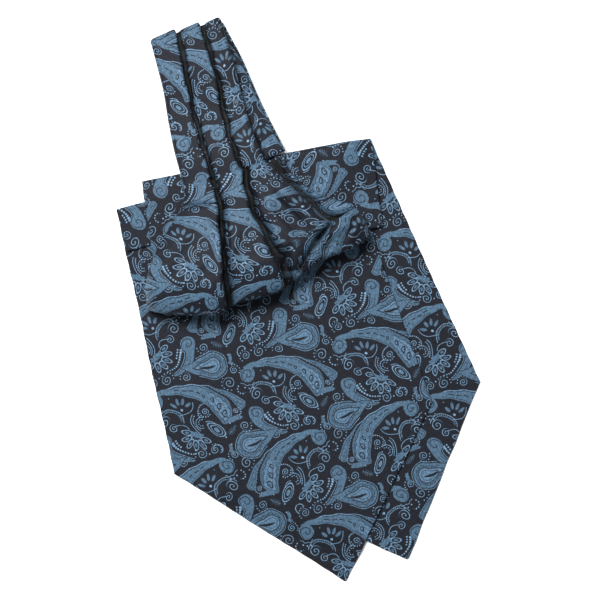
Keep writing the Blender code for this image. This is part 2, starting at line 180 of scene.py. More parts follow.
SIDE_SHADE = 2.6  # the strip along the right side that is painted in shade
SIDE_SHADE_ROW = 52  # the row, counted from the roll, where it begins
SIDE_SHADE_GROWS = 10  # the rows over which it deepens
SIDE_PAINTED_SHADE_MOST = 0.92

# The hidden layers inside the puff
CORE_ALONG = (0.34, 0.85)
CORE_ACROSS = (0.09, 0.60)
CORE_LAYERS = 4
CORE_BULGE = 0.7
CORE_NEAR = 8.0  # the roof follows the lowest cloth within this distance
CORE_UNDER = 1.4  # and stays this far under it
CORE_OVER = 0.3
CORE_LEAST = 1.2

# The back stretch's opened pleats, beside and under the puff
FAN_TOP = ((-44.0, 62.6), (-26.0, 73.6), (-7.2, 83.0))
FAN_EDGE = ((-7.2, 83.0), (-5.6, 74.6), (2.0, 66.4), (10.6, 60.6), (20.0, 56.8), (31.0, 53.2), (36.0, 46.0))
FAN_HIDDEN = ((-44.0, 62.6), (-36.0, 55.0), (-24.0, 48.5), (-10.0, 43.0), (4.0, 38.0), (14.0, 35.0),
              (22.0, 34.0))
FAN_END = ((22.0, 34.0), (30.0, 39.0), (36.0, 46.0))
FAN_CLOTH = (-42.0, -57.0)  # places a teardrop's round end on the flap
FAN_FOLD = (
    # share along, height and width of the fold that the edge rolls into; the widest part is the flap
    (0.00, 2.6, 4.5),
    (0.30, 3.0, 5.0),
    (0.55, 3.0, 6.5),
    (0.66, 2.8, 9.5),
    (0.80, 2.6, 9.5),
    (0.88, 1.6, 3.6),
    (1.00, 0.0, 3.0),
)
FAN_START = 0.03  # the share along where the cloth begins, just past the back band's end
FAN_FRONT, FAN_BACK = 2.2, 3.0  # the widths over which the fold rises and falls
# Painted shade on the opened pleats behind their fold, beside the puff: how wide it comes in, and how dark
# it gets
FAN_SHADE = 1.6
FAN_PAINTED_SHADE_MOST = 0.95

# Steps of the meshes
BLADE_STEPS = 84
POINT_STEPS = 34
FOLD_STEPS = 11
TURNED_STEPS = 26
ROLL_STEPS = 34
PUFF_STEPS = 72
FRONT_BAND_STEPS = 46
LOOP_STEPS = 16
BACK_BAND_STEPS = 48
FAN_STEPS = (70, 60)
CORE_STEPS = (13, 10)
STRIP_STEPS = 15  # half the steps across one strip of the pleats
EDGE_STEPS = np.array((0.05, 0.16, 0.36, 0.65))  # closer ones within the first and the last of them
TURN_STEPS = 9
FLAT_STEPS = 4
VALLEY_STEPS = 5
SOFT_STEPS = 3
SHARP_EDGE = 80.0  # degrees: edges that turn more, as at the flat cut ends, are sharp

# The woven pattern's repeat, and where it falls on each blade: a paisley's curl, seen from above
TILE = 55.4
ROW = 48.2
SLIP = 14.6  # odd rows are mirrored, slipped along and lifted
LIFT = 1.6
SKEW = 0.055
PAISLEY_CURL = (-5.6, 29.4)
FRONT_GRAIN = 17.3  # degrees that the weft turns from X
FRONT_CURL_AT = (-28.7, -43.9)
BACK_GRAIN = 12.5
BACK_CURL_AT = (49.9, 31.3)

# Photo frame
PHOTO_WIDTH = 345.0  # of the table, across the photo
PHOTO_MIDDLE = (1.04, 0.25)
CAMERA_HEIGHT = 2000.0
SENSOR = 36.0

# Studio, in metres
TABLE_HALF = 1.6
TABLE_TOP = -0.0002  # just clear of the cloth
ROOM_LIGHT = 0.42
WINDOW_SIZE = (0.7, 0.5)
WINDOW_AT = (-0.42, 0.58, 1.26)
WINDOW_POWER = 38.0


def placed(points):
    return (np.array(points, float) - MIDDLE) * MM


def smooth(t):
    t = np.clip(t, 0.0, 1.0)
    return t * t * (3 - 2 * t)


def between(rows, t):
    """Catmull-Rom curve through evenly spaced rows, at a share t of its length."""
    rows = np.array(rows, float)
    place = float(np.clip(t, 0.0, 1.0)) * (len(rows) - 1)
    i = min(int(place), len(rows) - 2)
    s = place - i
    a, b = rows[max(i - 1, 0)], rows[i]
    c, d = rows[i + 1], rows[min(i + 2, len(rows) - 1)]
    return b + 0.5 * s * (c - a + s * (2 * a - 5 * b + 4 * c - d + s * (3 * (b - c) + d - a)))


def column_values(table, station):
    """A table's columns at a station, on smooth curves through its rows."""
    table = np.array(table, float)
    place, values = table[:, 0], table[:, 1:]
    slope = np.gradient(values, place, axis=0)
    i = int(np.clip(np.searchsorted(place, station, side="right") - 1, 0, len(place) - 2))
    step = place[i + 1] - place[i]
    s = float(np.clip((station - place[i]) / step, 0.0, 1.0))
    ends = values[i] * (1 + 2 * s) * (1 - s) ** 2 + values[i + 1] * (3 - 2 * s) * s * s
    return ends + step * (slope[i] * s * (1 - s) ** 2 - slope[i + 1] * (1 - s) * s * s)


def run_length(points, axis=0):
    """Distance gone along a line of points."""
    step = norm(np.diff(points, axis=axis), axis=-1)
    start = np.zeros_like(np.take(step, [0], axis=axis))
    return np.concatenate([start, np.cumsum(step, axis=axis)], axis=axis)


def edged(count, length):
    """Shares from 0 to 1 with close steps at both ends, where a folded edge is rounded."""
    near = np.array(ROUND_EDGE) / length
    return np.concatenate([near, np.linspace(near[-1], 1 - near[-1], count + 1)[1:-1], 1 - near[::-1]])


def depth_inside(corners, x, y):
    """How far inside a convex outline a point lies, negative outside. Corners run anticlockwise."""
    corners = np.array(corners, float)
    depth = np.full(np.shape(x), np.inf)
    for here, there in zip(corners, np.roll(corners, -1, axis=0)):
        along = (there - here) / norm(there - here)
        depth = np.minimum(depth, along[0] * (y - here[1]) - along[1] * (x - here[0]))
    return depth


def blade_outline(blade):
    return [blade[k] for k in ("fold_left", "shoulder_left", "point", "shoulder_right", "fold_right")]


def turned_outline(blade, end):
    return [blade["fold_left"], end["left"], end["right"], blade["fold_right"]]


def lifted(outline, x, y, reach):
    """1 on a layer, falling to 0 at reach beside it."""
    return smooth(1 + depth_inside(outline, x, y) / reach)


def creased(lines, x, y):
    """Soft troughs and ridges along lines, each fading at its ends."""
    total = 0 * x
    for start, end, wide, high in lines:
        gone = np.array(end) - start
        share = ((x - start[0]) * gone[0] + (y - start[1]) * gone[1]) / (gone @ gone)
        held = np.clip(share, 0, 1)
        off = np.hypot(x - start[0] - gone[0] * held, y - start[1] - gone[1] * held)
        ridge = high * np.exp(-(off / wide) ** 2) * smooth((share + CREASE_PAST) / CREASE_FADE)
        total = total + ridge * smooth((1 + CREASE_PAST - share) / CREASE_FADE)
    return total


def back_blade_height(x, y):
    return HALF + creased(BLADE_CREASES, x, y)


def front_blade_height(x, y):
    return back_blade_height(x, y) + LAYER * lifted(blade_outline(BACK_BLADE), x, y, BLADE_REACH)


def front_turned_height(x, y):
    under = lifted(blade_outline(FRONT_BLADE), x, y, TURNED_REACH)
    over_back = lifted(blade_outline(BACK_BLADE), x, y, TURNED_REACH)
    return HALF + LAYER * (under + over_back)


def back_turned_height(x, y):
    front_turned = turned_outline(FRONT_BLADE, FRONT_TURNED_END)
    return HALF + LAYER * (1 + lifted(blade_outline(FRONT_BLADE), x, y, TURNED_REACH)
                           + lifted(front_turned, x, y, TURNED_REACH))


def stack_lift(x, y, reach):
    return STACK_TOP * lifted(turned_outline(BACK_BLADE, BACK_TURNED_END), x, y, reach)


def edge_wander(x, y):
    """How far a folded edge strays from straight."""
    return 0.22 * np.sin(0.19 * x + 0.13 * y + 1.0) + 0.13 * np.sin(0.47 * y - 0.31 * x)


def blade_grid(blade, end, height, turned_height, fold_clear, grain, curl_at):
    """A blade's middle surface from its point up to the fold, round it, and down the turned-over top.

    Also returns where each of its points lies on the woven cloth."""
    fold_left, fold_right, shoulder_left, shoulder_right, point = (np.array(blade[k]) for k in (
        "fold_left", "fold_right", "shoulder_left", "shoulder_right", "point"))
    end_left, end_right = np.array(end["left"]), np.array(end["right"])
    side = shoulder_right - shoulder_left
    across = edged(BLADE_STEPS, norm(side))
    nib = side / norm(side) * POINT_WIDTH / 2
    fold_line = fold_right - fold_left
    outward = np.array([-fold_line[1], fold_line[0]]) / norm(fold_line)
    edge_weight = np.abs(2 * across - 1) ** 6

    def row(left, right, level, shift=0.0):
        flat = left + (right - left) * across[:, None] + outward * shift
        sway = edge_wander(flat[:, 0], flat[:, 1]) * edge_weight
        flat = flat + sway[:, None] * (side / norm(side))
        return np.column_stack([flat, level(flat[:, 0], flat[:, 1])])

    def stretch(left, right, next_left, next_right, level, shares, shifts):
        return [row(left + (next_left - left) * t, right + (next_right - right) * t, level, shift)
                for t, shift in zip(shares, shifts)]

    by_point = edged(POINT_STEPS, norm(shoulder_left - point))[:-len(ROUND_EDGE)]
    rows = stretch(point - nib, point + nib, shoulder_left, shoulder_right, height, by_point, 0 * by_point)
    up = np.linspace(0, 1, BLADE_STEPS)
    rows += stretch(shoulder_left, shoulder_right, fold_left, fold_right, height, up, -fold_clear * up)
    spread = [flat[:, :2] for flat in rows]
    under = rows[-1]
    over = row(fold_left, fold_right, turned_height, -fold_clear)
    middle, radius = (under + over) / 2, (over[:, 2] - under[:, 2]) / 2
    for angle in np.radians(np.linspace(-FOLD_TURN, FOLD_TURN, FOLD_STEPS)):
        turn = middle.copy()
        turn[:, :2] += outward * (radius * cos(angle))[:, None]
        turn[:, 2] += radius * sin(angle)
        rows.append(turn)
        spread.append(under[:, :2] + outward * (radius * (angle + pi / 2))[:, None])
    past_fold = under[:, :2] + outward * (radius * pi)[:, None]
    back = edged(TURNED_STEPS, norm(end_left - fold_left))[len(ROUND_EDGE) - 1:]
    shifts = -fold_clear * (1 - back)
    for flat in stretch(fold_left, fold_right, end_left, end_right, turned_height, back, shifts):
        gone = flat[:, :2] - over[:, :2]
        rows.append(flat)
        spread.append(past_fold + gone - 2 * outward * (gone @ outward)[:, None])
    turn = radians(grain)
    weft = np.array([cos(turn), sin(turn)])
    warp = np.array([-sin(turn), cos(turn)])
    off = np.array(spread) - curl_at
    cloth = np.stack([off @ weft + SKEW * (off @ warp), off @ warp], axis=-1) + PAISLEY_CURL
    return np.array(rows), np.concatenate([cloth, 0 * cloth[..., :1]], axis=-1)


def walk_along(pieces):
    """Where each step of a walk ends, and how far it has gone.

    Each piece of the walk has a length, the headings at its start and end, and steps."""
    spots = []
    gone = []
    here, total = np.zeros(2), 0.0
    for length, start, end, steps in pieces:
        for k in range(steps):
            heading = radians(start + (end - start) * (k + 0.5) / steps)
            here = here + length / steps * np.array([cos(heading), sin(heading)])
            total += length / steps
            spots.append(here)
            gone.append(total)
    return np.array(spots), np.array(gone)


def pleat_section(station, width):
    """The pleated cloth across its width: share across, height, and two columns of cloth values.

    The columns are the place across the woven cloth, and the painted shade that lies there, deep in a fold."""
    (edge_1, edge_2, tilt, turn, lap_1, lap_2,
     angle_1, angle_2, rise, rise_angle) = column_values(PLEATS, station)
    crown = PLEAT_CROWN * smooth(station / CROWN_GROWS)
    sway = [PLEAT_SWAY * (sin(11 * station + 2.2 * k) + 0.7 * sin(29 * station + k))
            for k in range(3)]
    edge_1, edge_2 = edge_1 + sway[0] / width, edge_2 + sway[1] / width
    folds = []
    for angle, lap, extra in ((angle_1, lap_1, sway[2]), (angle_2, lap_2, sway[0])):
        up = rise_angle * min(1.0, angle / FULL_RISE)
        valley = max(PLEAT_VALLEY + extra - lap * cos(radians(angle)), LEAST_VALLEY)
        folds.append(walk_along([
            (turn, tilt - crown, -angle, TURN_STEPS), (lap, -angle, -angle, FLAT_STEPS),
            (turn, -angle, 0.0, TURN_STEPS), (valley, 0.0, 0.0, VALLEY_STEPS),
            (PLEAT_SOFT, 0.0, up, SOFT_STEPS), (rise, up, up, FLAT_STEPS),
            (PLEAT_SOFT, up, tilt + crown, SOFT_STEPS)]))
    reach_1, reach_2 = (fold[0][:TURN_STEPS, 0].max() for fold in folds)
    strips = (edge_1 * width - reach_1,
              (edge_2 - edge_1) * width + reach_1 - folds[0][0][-1, 0] - reach_2,
              (1 - edge_2) * width + reach_2 - folds[1][0][-1, 0])
    points = np.zeros((1, 2))
    cloth = None
    painted_shade = np.zeros(1)
    for k, strip in enumerate(strips):
        flat, gone = walk_along([(1.0, tilt + crown, tilt, STRIP_STEPS),
                                 (1.0, tilt, tilt - crown, STRIP_STEPS)])
        scale = strip / flat[-1, 0]
        points = np.vstack([points, points[-1] + flat * scale])
        edge = STRIP_EDGE_CLOTH[k]
        strip_cloth = edge - (gone[-1] - gone) * scale
        start = edge - gone[-1] * scale
        if cloth is None:
            cloth = np.array([start])
        else:
            # Painted shade deep inside each fold, the more the further the fold has turned
            fold_gone = folds[k - 1][1]
            left = fold_gone[-1] - fold_gone
            deep = smooth(fold_gone / (0.7 * turn))
            deep = deep * smooth((left - 0.4 * rise) / (0.6 * rise + PLEAT_SOFT))
            shut = ((angle_1, angle_2)[k - 1] - FOLD_SHADE[0]) / (FOLD_SHADE[1] - FOLD_SHADE[0])
            painted_shade = np.concatenate([painted_shade, deep * smooth(shut)])
            hidden = smooth((fold_gone - turn) / (lap_1, lap_2)[k - 1])
            before, after = cloth[-1] + fold_gone, start - left
            cloth = np.concatenate([cloth, before * (1 - hidden) + after * hidden])
        cloth = np.concatenate([cloth, strip_cloth])
        painted_shade = np.concatenate([painted_shade, np.zeros(len(strip_cloth))])
        if k < 2:
            points = np.vstack([points, points[-1] + folds[k][0]])
    across, height = points.T
    height = height - across / across[-1] * height[-1]
    across = across / across[-1]
    height = height - height.min()

    def with_edges(values):
        """Adds close steps at both sides, where the edge is rounded."""
        first = values[0] + (values[1] - values[0]) * EDGE_STEPS
        last = values[-1] - (values[-1] - values[-2]) * EDGE_STEPS[::-1]
        return np.concatenate([values[:1], first, values[1:-1], last, values[-1:]])

    return with_edges(across), with_edges(height), np.column_stack([with_edges(cloth), with_edges(painted_shade)])


def sided(across, height, width, side):
    """Rounds a section's two sides down to nothing over a given width."""
    room = np.clip(np.minimum(across, 1 - across) * width / side, 0, 1)
    return height * np.sqrt(np.clip(1 - (1 - room) ** 2, 0, 1))


def front_depth(station):
    return BAND_DEEP + FRONT_SPRING * smooth((station + 1) / FRONT_SPRING_GROWS)


def band_section(station, width, deep=BAND_DEEP):
    across, height, cloth = pleat_section(station, width)
    height = HALF + height / height.max() * (deep - CLOTH)
    return across, np.maximum(sided(across, height, width, BAND_SIDE), HALF), cloth


def band_row(edges, station, level, reach, facing_down=False):
    left, right = np.array(edges[:2]), np.array(edges[2:])
    deep = BAND_DEEP if facing_down else front_depth(station)
    across, height, cloth = band_section(station, norm(right - left), deep)
    flat = left + (right - left) * across[:, None]
    base = level + stack_lift(flat[:, 0], flat[:, 1], reach)
    return np.column_stack([flat, base + (BAND_DEEP - height if facing_down else height)]), cloth


def patch(top, lower, left, right, across, along):
    """A point of the surface that four edge curves bound, seen from above."""
    top_left, top_right = np.array(top[0]), np.array(top[-1])
    low_left, low_right = np.array(lower[0]), np.array(lower[-1])
    upper = np.array([between(top, a) for a in across])
    under = np.array([between(lower, a) for a in across])
    a = across[:, None]
    sides = (1 - a) * between(left, along) + a * between(right, along)
    corners = ((1 - along) * ((1 - a) * top_left + a * top_right)
               + along * ((1 - a) * low_left + a * low_right))
    return (1 - along) * upper + along * under + sides - corners


def puff_plan(across, along):
    return patch((PUFF_LEFT[0], PUFF_RIGHT[0]), PUFF_LOWER, PUFF_LEFT, PUFF_RIGHT, across, along)


def puff_row(station):
    """One row across the puff. Past PUFF_ROLL the rows go round the roll and a little way back under it."""
    turn = radians(ROLL_ANGLE) * np.clip((station - PUFF_ROLL) / (1 - PUFF_ROLL), 0, 1)
    along = station if turn == 0 else PUFF_ROLL + (1 - PUFF_ROLL) * sin(turn)
    left_rim, right_rim, crown = column_values(PUFF_HEIGHTS, station)
    sides = puff_plan(np.array([0.0, 1.0]), along)
    width = norm(sides[1] - sides[0])
    across, pleats, cloth = pleat_section(station, width)
    place = np.clip(across, 0, 1)
    flat = puff_plan(place, along)
    dome = crown * (1 - np.abs(2 * place - 1) ** 3)
    start_height = HALF + pleats / pleats.max() * (front_depth(0.0) - CLOTH)
    opened = smooth(station / PUFF_OPENS)
    section = start_height * (1 - opened) + (HALF + pleats) * opened
    side = BAND_SIDE + (PUFF_SIDE - BAND_SIDE) * opened
    rim = left_rim + (right_rim - left_rim) * place
    crease = creased(PUFF_CREASES, flat[:, 0], flat[:, 1])
    top = rim + np.maximum(sided(place, section + dome, width, side), HALF) + crease
    # Painted shade in the creases' troughs, darker the deeper they are
    cloth[:, 1] = np.maximum(cloth[:, 1], np.clip(crease / -CREASE_SHADE, 0.0, CREASE_PAINTED_SHADE_MOST))
    bottom = ROLL_BOTTOM[0] + (ROLL_BOTTOM[1] - ROLL_BOTTOM[0]) * place
    return np.column_stack([flat, bottom + (top - bottom) * (1 + cos(turn)) / 2]), cloth


def band_run():
    """One run of rows: the puff from its roll up, the front stretch, the loop and the back stretch.

    Returns the rows, their places on the cloth with their painted shade, and the rows where one stretch
    ends and the next begins."""
    roll_end = 1 - np.array(ROUND_EDGE) / ROLL_EDGE
    stations = np.concatenate([roll_end, np.linspace(roll_end[-1], PUFF_ROLL, ROLL_STEPS)[1:-1],
                               np.linspace(PUFF_ROLL, 0, PUFF_STEPS)])
    pairs = [puff_row(s) for s in stations]
    joins = [len(pairs) - 1]
    pairs += [band_row(between(FRONT_BAND, t), -t, BAND_DEEP + 2 * LOOP_INSIDE, FRONT_BAND_REACH)
              for t in np.linspace(0, 1, FRONT_BAND_STEPS)[1:]]
    left, right = np.array(FRONT_BAND[-1][:2]), np.array(FRONT_BAND[-1][2:])
    outward = np.array([-(right - left)[1], (right - left)[0]]) / norm(right - left)
    across, height, cloth = band_section(-1.0, norm(right - left))
    pivot = left + (right - left) * across[:, None]
    for angle in np.radians(np.linspace(0, 180, LOOP_STEPS)[1:]):
        out = (height + LOOP_INSIDE) * sin(angle)
        up = BAND_DEEP + LOOP_INSIDE + (height + LOOP_INSIDE) * cos(angle)
        pairs.append((np.column_stack([pivot + outward * out[:, None], up]), cloth))
    joins.append(len(pairs) - 1)
    pairs += [band_row(between(BACK_BAND, t), -1 + t, 0.0, BACK_BAND_REACH, facing_down=True)
              for t in np.linspace(0, 1, BACK_BAND_STEPS)[1:]]
    rows = np.array([pair[0] for pair in pairs])
    across_place, painted_shade = np.moveaxis(np.array([pair[1] for pair in pairs]), -1, 0)
    # Painted shade on the right side, which drops steeply beside the layers under it, from where the puff
    # spreads up to the loop
    number = np.arange(len(rows))[:, None]
    beside = smooth((number - SIDE_SHADE_ROW) / SIDE_SHADE_GROWS) * (number <= joins[1])
    gone = run_length(rows, axis=1)
    from_side = (gone[:, -1:] - gone) / SIDE_SHADE
    painted_shade = np.maximum(painted_shade, beside * SIDE_PAINTED_SHADE_MOST * smooth(1.25 - from_side))
    length_place = run_length(rows)
    length_place = length_place - length_place[joins[0]] + PUFF_TOP_CLOTH
    return rows, np.stack([across_place, length_place, painted_shade], axis=-1), joins


def fan_grid():
    """The back stretch's pleats opening to the right under the puff. Their edge rolls into a flap."""
    across = 1 - np.linspace(1, 0, FAN_STEPS[0]) ** 1.5
    rows, painted_shade = [], []
    for along in np.linspace(FAN_START, 1, FAN_STEPS[1]):
        rise, wide = column_values(FAN_FOLD, along)
        flat = patch(FAN_TOP, FAN_END, FAN_HIDDEN, FAN_EDGE, across, along)
        from_edge = norm(flat[-1] - flat[0]) * (1 - across)
        fold = smooth(from_edge / FAN_FRONT) * smooth((wide - from_edge) / FAN_BACK)
        rows.append(np.column_stack([flat, STACK_TOP + HALF + rise * fold]))
        # Painted shade past the fold, in the channel beside the puff's edge
        painted_shade.append(FAN_PAINTED_SHADE_MOST * smooth((from_edge - wide + FAN_SHADE) / FAN_SHADE))
    rows = np.array(rows)
    across_place = run_length(rows, axis=1) + FAN_CLOTH[0]
    length_place = run_length(rows, axis=0) + FAN_CLOTH[1]
    return rows, np.stack([across_place, length_place, painted_shade], axis=-1)


def add_object(name, data):
    added = bpy.data.objects.new(name, data)
    bpy.context.scene.collection.objects.link(added)
    return added


def add_mesh(name, points, faces, cloth, material):
    """A smooth mesh. Its UVs are its places on the woven cloth, in metres.

    Its float attribute holds the painted shade of each point, from 0 to 1."""
    mesh = bpy.data.meshes.new(name)
    mesh.from_pydata(placed(points).tolist(), [], [list(map(int, f)) for f in faces])
    layer = mesh.uv_layers.new(name="cloth")
    corners = np.zeros(len(mesh.loops), int)
    mesh.loops.foreach_get("vertex_index", corners)
    layer.data.foreach_set("uv", (cloth[corners, :2] * MM).astype(np.float32).ravel())
    painted_shade = mesh.attributes.new("painted_shade", "FLOAT", "POINT")
    painted_shade.data.foreach_set("value", cloth[:, 2].astype(np.float32))
    mesh.shade_smooth()
    mesh.set_sharp_from_angle(angle=radians(SHARP_EDGE))
    mesh.materials.append(material)
    return add_object(name, mesh)


def grid_faces(index):
    """The faces between the rows and columns of a grid of points."""
    corners = [index[:-1, :-1], index[1:, :-1], index[1:, 1:], index[:-1, 1:]]
    return np.stack(corners, axis=-1).reshape(-1, 4)


def cloth_shell(name, middle, cloth, material, cut_start=False, cut_end=False):
    """A closed thin cloth about a grid of points. Its borders are round, but cut flat where it runs on."""
    down, along = np.gradient(middle, axis=0), np.gradient(middle, axis=1)
    normal = np.cross(along, down)
    normal /= np.maximum(norm(normal, axis=2, keepdims=True), 1e-9)
    by_row, by_column = run_length(middle, 0), run_length(middle, 1)
    room = np.minimum(by_column, by_column[:, -1:] - by_column)
    if not cut_start:
        room = np.minimum(room, by_row)
    if not cut_end:
        room = np.minimum(room, by_row[-1:] - by_row)
    bulge = HALF * np.sqrt(np.clip(1 - (1 - np.clip(room / HALF, 0, 1)) ** 2, 0, 1))
    upper = (middle + normal * bulge[..., None]).reshape(-1, 3)
    lower = (middle - normal * bulge[..., None]).reshape(-1, 3)
    flat_bulge = bulge.ravel()
    top_index = np.arange(len(upper))
    opened = flat_bulge > 1e-6
    low_index = top_index.copy()
    low_index[opened] = len(upper) + np.arange(opened.sum())
    points = np.vstack([upper, lower[opened]])
    places = np.vstack([cloth.reshape(-1, 3), cloth.reshape(-1, 3)[opened]])
    top, bottom = (index.reshape(middle.shape[:2]) for index in (top_index, low_index))
    faces = [grid_faces(top), grid_faces(bottom)[:, ::-1]]
    if cut_start:
        faces.append(np.stack([top[0, :-1], top[0, 1:], bottom[0, 1:], bottom[0, :-1]], axis=-1))
    if cut_end:
        faces.append(np.stack([top[-1, 1:], top[-1, :-1], bottom[-1, :-1], bottom[-1, 1:]], axis=-1))
    faces = [list(dict.fromkeys(face)) for face in np.vstack(faces).tolist()]
    faces = [face for face in faces if len(face) > 2]
    return add_mesh(name, points, faces, places, material)


# The woven pattern, worked out by nodes: each sum in the functions below becomes one Math node
class Number:
    """A number that the material works out."""
    tree = None

    def __init__(self, value):
        self.value = value

    def __add__(self, other):
        return work_out("ADD", self, other)

    def __sub__(self, other):
        return work_out("SUBTRACT", self, other)

    def __rsub__(self, other):
        return work_out("SUBTRACT", other, self)

    def __mul__(self, other):
        return work_out("MULTIPLY", self, other)

    def __truediv__(self, other):
        return work_out("DIVIDE", self, other)


def work_out(operation, *terms, clamp=False):
    node = Number.tree.nodes.new("ShaderNodeMath")
    node.operation = operation
    node.use_clamp = clamp
    for socket, term in zip(node.inputs, terms):
        if isinstance(term, Number):
            Number.tree.links.new(term.value, socket)
        else:
            socket.default_value = term
    return Number(node.outputs[0])


low = partial(work_out, "MINIMUM")
high = partial(work_out, "MAXIMUM")
mag = partial(work_out, "ABSOLUTE")
power = partial(work_out, "POWER")
root = partial(work_out, "SQRT")
sine = partial(work_out, "SINE")
angle_of = partial(work_out, "ARCTAN2")
whole = partial(work_out, "FLOOR")
part_of = partial(work_out, "FRACT")
hold = partial(work_out, "ADD", 0.0, clamp=True)


EDGE = 0.12  # softness of a woven edge
GROUND, FILL, MID, LINE = 0.0, 0.62, 0.8, 1.0
THIN = 0.17
SMALL_CURLS = (
    # centre, zero direction, way and size of the curls in the ground between the larger figures
    (38.5, 28.0, 200.0, 1, 3.4),
    (5.5, 40.0, 60.0, -1, 3.0),
    (-2.6, 40.0, 150.0, 1, 2.5),
    (38.5, 2.0, 300.0, 1, 2.6),
    (43.2, 34.0, 20.0, -1, 2.3),
    (16.5, 38.2, 110.0, 1, 2.5),
    (19.5, 16.2, 250.0, -1, 2.1),
    (36.3, 11.2, 330.0, -1, 1.6),
)


def far(x, y):
    return root(work_out("MULTIPLY_ADD", x, x, y * y))


def inside(distance):
    """1 inside a shape whose signed distance is given, 0 outside."""
    return work_out("MULTIPLY_ADD", distance, -0.5 / EDGE, 0.5, clamp=True)


def stroke(distance, half=THIN):
    return inside(mag(distance) - half)


class Weave:
    """How far the figure shows over the ground, as shape is laid over shape."""
    def __init__(self):
        self.tone = work_out("ADD", 0.0, 0.0)

    def lay(self, value, mask):
        self.tone = work_out("MULTIPLY_ADD", value - self.tone, mask, self.tone)

    def fill(self, value, distance):
        self.lay(value, inside(distance))


def cell(u, v, cx, cy):
    """Place within the repeat about a centre; every other row is mirrored."""
    row = whole((v - cy) / ROW + 0.5)
    odd = mag(row - whole(row / 2) * 2)
    x = (u - odd * SLIP) * (1 - odd * 2) - cx
    x = (part_of(x / TILE + 0.5) - 0.5) * TILE + cx
    return x, v - row * ROW - odd * LIFT


def spin(x, y, cx, cy, degrees):
    c, s = cos(radians(degrees)), sin(radians(degrees))
    x, y = x - cx, y - cy
    return x * c + y * s, y * c - x * s


def polar(x, y, cx, cy, zero=0.0):
    """Distance from a centre, and the angle about it in degrees from a zero direction."""
    x, y = spin(x, y, cx, cy, zero)
    return far(x, y), angle_of(y, x) * (180 / pi)


def share_of(angle, start, end):
    return (angle - start) * (1.0 / (end - start))


def during(share, a=0.0, b=1.0):
    return hold((share - a) * 40) * hold((b - share) * 40)


def arc(r, a, radius, half_angle, half=THIN):
    """A line along a circle, on both sides of its zero direction."""
    return inside(high(mag(r - radius) - half, (mag(a) - half_angle) * (radius * pi / 180)))


def spiral(r, a, way, pitch):
    """Distance from a spiral line."""
    return (mag(part_of(r / pitch - a * (way / 360.0)) - 0.5) - 0.5) * (-pitch)


def leaf(x, y, cx, cy, degrees, half_long, half_wide):
    x, y = spin(x, y, cx, cy, degrees)
    return (far(x / half_long, y / half_wide) - 1) * half_wide


def petals(r, a, step, middle, half_long, half_wide):
    """Distance from petals set round a centre."""
    q = (part_of(a / step) - 0.5) * (step * pi / 180) * r
    return (far((r - middle) / half_long, q / half_wide) - 1) * half_wide


def beads(r, a, radius, step, size):
    """Distance from dots set every so many degrees on a circle."""
    b = (part_of(a / step) - 0.5) * (step * pi / 180) * radius
    return far(b, r - radius) - size


def bead_arc(r, a, radius, step, size, half_angle):
    """Dots along a circle, on both sides of its zero direction."""
    return inside(high(beads(r, a, radius, step, size), mag(a) - half_angle))


def paisley(x, y, weave):
    """A hooked paisley under a crescent with a toothed inner edge."""
    outer = 49.8
    r, a = polar(x, y, 3.2, -14.4, 66)
    s = share_of(a, 29, -28)
    t = hold(s)
    drop = high(t - 0.46, 0.0) * 11.6
    wide = t * 11.0 + power(t, 3.0) * 9.0 + 3.0
    half = (wide - drop) * 0.5
    close = root(1 - power(t, 11.0))
    d = mag(r - outer + drop + half) - half * close
    d = high(d, high(s * -60 - 7, (s - 0.995) * 40))
    head = far(x + 5.6, y - 29.4) - 4.3
    foot = leaf(x, y, 33.0, 7.4, -2, 5.4, 1.5)
    body = low(low(d, head), foot)
    # The crescent
    tooth = mag(part_of(a * 0.42) - 0.5) * 1.3
    rim = high(r - outer, outer - drop + 0.75 + tooth - r)
    rim = high(rim, mag(s - 0.77) * 50 - 14.5 + power(mag(r - 47.0) * 0.4, 2.0))
    weave.fill(FILL, rim)
    weave.lay(GROUND, stroke(rim + 0.9, 0.13))
    weave.lay(GROUND, inside(rim + 2.0) * inside(mag(part_of(a * 0.9) - 0.5) - 0.22))
    weave.fill(FILL, body)
    # A lighter edge along the neck and a dark one inside it
    weave.lay(LINE, stroke(r - outer + 0.1, 0.16) * during(s, 0.08, 0.62))
    weave.lay(GROUND, stroke(r - outer + 0.75, 0.13) * during(s, 0.16, 0.5))
    hr, ha = polar(x, y, -5.6, 29.4, 70)
    weave.lay(GROUND, inside(spiral(hr, ha, 1, 2.7) - 0.24) * inside(hr - 3.9))
    # Dashes up the neck
    mid = r - outer + half + drop
    dash = mag(part_of(a / 5.2) - 0.5) - 0.32
    weave.lay(GROUND, stroke(mid, 0.3) * inside(dash * 4) * during(s, 0.12, 0.52))
    weave.lay(GROUND, stroke(d + 0.85, 0.13) * during(s, 0.14, 0.98))
    # The body's outline, rings and curls
    ripple = sine(a * 1.1) * 0.3
    weave.lay(GROUND, stroke(d + 1.75 + ripple, 0.17) * during(s, 0.55, 1.1))
    weave.lay(MID, inside(d + 2.3 + ripple) * during(s, 0.6, 1.1))
    weave.lay(GROUND, stroke(d + 3.5 + mag(sine(a * 1.6)) * 0.7, 0.15) * during(s, 0.62, 0.98))
    along = (part_of(s * 8.5) - 0.5) * 5.6
    size = s * 2.9 - 0.8
    ring = far(along, mid + 0.4) - size
    weave.lay(GROUND, inside(mag(ring) - s * 0.44) * during(s, 0.47, 0.94))
    weave.lay(GROUND, inside(far(along - 0.5, mid + 0.1) - s * 0.6) * during(s, 0.47, 0.94))


def small_curls(x, y, weave):
    for cx, cy, zero, way, size in SMALL_CURLS:
        r, a = polar(x, y, cx, cy, zero)
        weave.lay(LINE, stroke(spiral(r, a, way, size * 0.54)) * inside(r - size))
        weave.lay(LINE, bead_arc(r, a, size + 1.0, 26.0, 0.34, 78))


